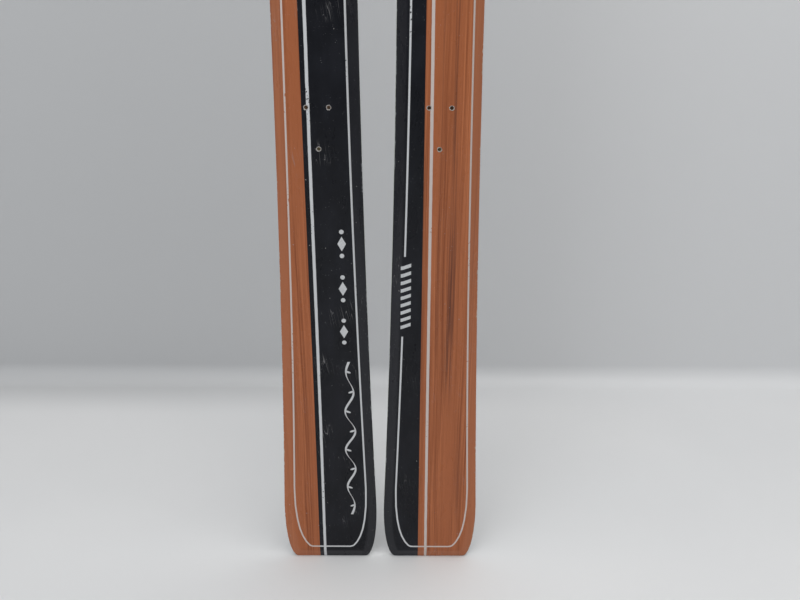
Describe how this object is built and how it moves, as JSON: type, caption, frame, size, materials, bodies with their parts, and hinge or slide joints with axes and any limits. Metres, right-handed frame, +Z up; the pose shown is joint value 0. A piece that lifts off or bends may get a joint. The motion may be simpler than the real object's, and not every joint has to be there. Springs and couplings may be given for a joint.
{
  "type": "alpine ski pair",
  "caption": "Pair of alpine skis of cap construction, tails down side by side, with sidecut, camber, raised tips, steel edges, layered cores and empty binding screw holes.",
  "frame": {"origin": "midway between the two tails, on the surface they stand on, in the plane of the running bases", "axes": "+Z up each ski from tail to tip, +X across the pair towards the right ski seen from the front, topsheets face -Y and running bases +Y"},
  "size_m": [0.2482, 0.0668, 1.76],
  "materials": {
    "base_polyethylene": "matt black sintered",
    "fleece": "resin-soaked",
    "rubber_foil": "matt",
    "glass_laminate": "translucent resin and glass",
    "edge_steel": "ground",
    "printed_cap": "clear-coated print of reddish wood grain and black",
    "aluminium_sheet": "rolled",
    "filler_plastic": "moulded black",
    "poplar": "planed",
    "beech": "planed"
  },
  "bodies": {
    "left_ski": {"left_base_sheet": "base_polyethylene", "left_edge_fleece": "fleece", "left_damping_foil": "rubber_foil", "left_lower_laminate": "glass_laminate", "left_steel_edge_outer": "edge_steel", "left_steel_edge_inner": "edge_steel", "left_topsheet": "printed_cap", "left_upper_laminate": "glass_laminate", "left_binding_plate": "aluminium_sheet", "left_tail_spacer": "filler_plastic", "left_tip_spacer": "filler_plastic", "left_side_rail_outer": "filler_plastic", "left_side_rail_inner": "filler_plastic", "left_core_poplar_outer": "poplar", "left_core_beech_outer": "beech", "left_core_poplar_centre": "poplar", "left_core_beech_inner": "beech", "left_core_poplar_inner": "poplar"},
    "right_ski": {"right_base_sheet": "base_polyethylene", "right_edge_fleece": "fleece", "right_damping_foil": "rubber_foil", "right_lower_laminate": "glass_laminate", "right_steel_edge_outer": "edge_steel", "right_steel_edge_inner": "edge_steel", "right_topsheet": "printed_cap", "right_upper_laminate": "glass_laminate", "right_binding_plate": "aluminium_sheet", "right_tail_spacer": "filler_plastic", "right_tip_spacer": "filler_plastic", "right_side_rail_outer": "filler_plastic", "right_side_rail_inner": "filler_plastic", "right_core_poplar_outer": "poplar", "right_core_beech_outer": "beech", "right_core_poplar_centre": "poplar", "right_core_beech_inner": "beech", "right_core_poplar_inner": "poplar"}
  },
  "joints": [
    {"name": "right_ski_lift", "type": "slide", "parent": "left_ski", "child": "right_ski", "axis": [0, 0, 1], "range_m": [0, 0.25]}
  ]
}
